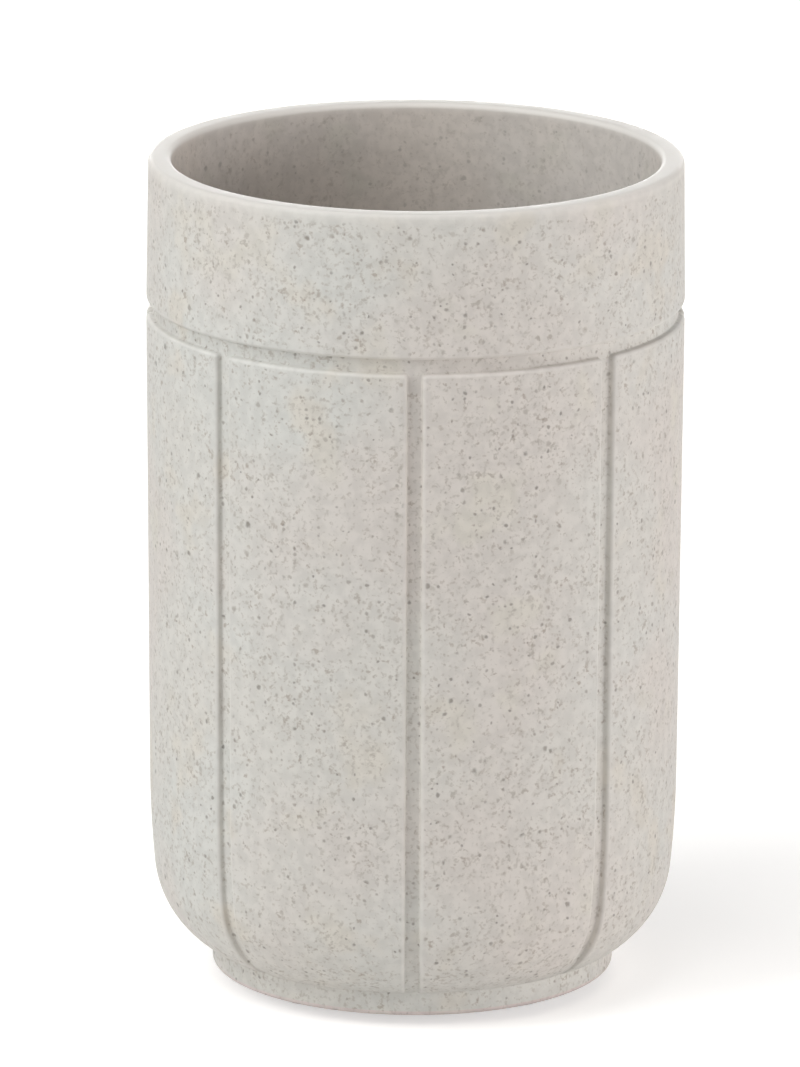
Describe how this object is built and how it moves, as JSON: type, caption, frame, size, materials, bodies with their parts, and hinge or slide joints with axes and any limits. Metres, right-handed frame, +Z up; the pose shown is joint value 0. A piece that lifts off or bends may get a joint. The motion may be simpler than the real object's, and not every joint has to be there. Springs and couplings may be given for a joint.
{
  "type": "bathroom tumbler",
  "caption": "Free-standing round tumbler with a smooth collar, raised wall panels between shallow grooves, a rounded shoulder and a low foot on clear pads.",
  "frame": {"origin": "where the cup's axis meets the surface that it stands on", "axes": "+Z up along the cup's axis, -Y towards the front, where one groove faces"},
  "size_m": [0.073, 0.073, 0.1146],
  "materials": {
    "stone_resin": "matte",
    "clear_pad": "satin",
    "adhesive": "matte"
  },
  "bodies": {
    "root": {"tumbler_casting": "stone_resin", "bumper_pad_1": "clear_pad", "bumper_pad_2": "clear_pad", "bumper_pad_3": "clear_pad", "bumper_pad_4": "clear_pad", "adhesive_disc_1": "adhesive", "adhesive_disc_2": "adhesive", "adhesive_disc_3": "adhesive", "adhesive_disc_4": "adhesive"}
  },
  "joints": []
}
